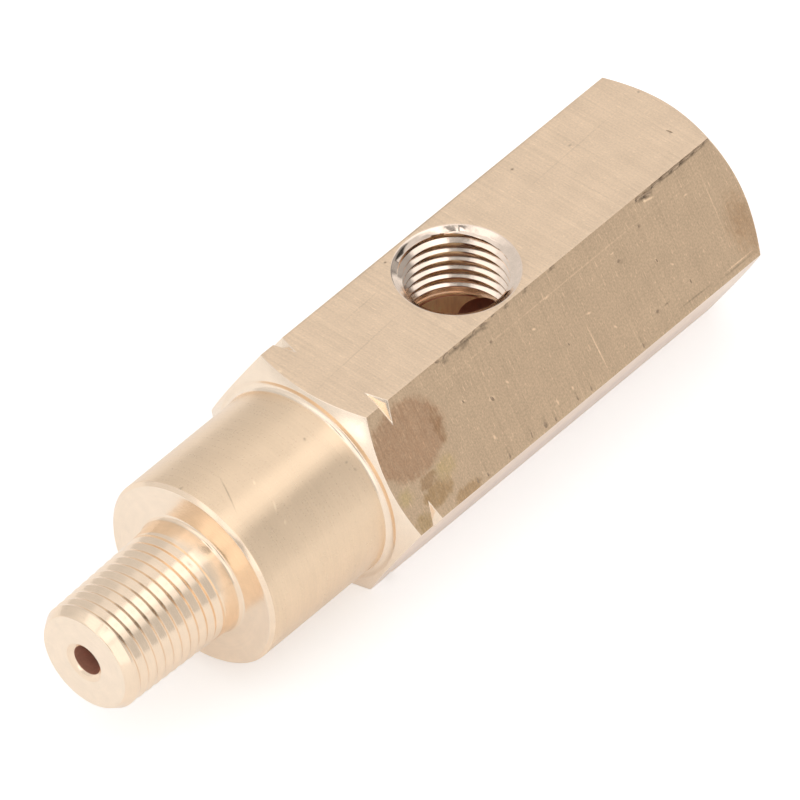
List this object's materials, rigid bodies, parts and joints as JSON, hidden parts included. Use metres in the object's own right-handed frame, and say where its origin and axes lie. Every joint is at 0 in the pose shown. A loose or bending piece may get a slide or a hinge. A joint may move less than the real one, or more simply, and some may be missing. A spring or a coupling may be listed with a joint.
{
  "type": "brass tee fitting",
  "caption": "Tee fitting turned from brass hexagon bar: tapered threaded male end with a small tip hole, turned collar, threaded side port in a flat and threaded port in the far end.",
  "frame": {"origin": "under the middle of the overall length, on the flat that the fitting rests on", "axes": "+X along the fitting from the male tip to the female end, +Z out of the side port"},
  "size_m": [0.0738, 0.023, 0.02],
  "materials": {
    "brass": "machined brass: drawn flats with fine marks across them, satin turned collar, polished threads"
  },
  "bodies": {
    "root": {"tee_body": "brass"}
  },
  "joints": []
}
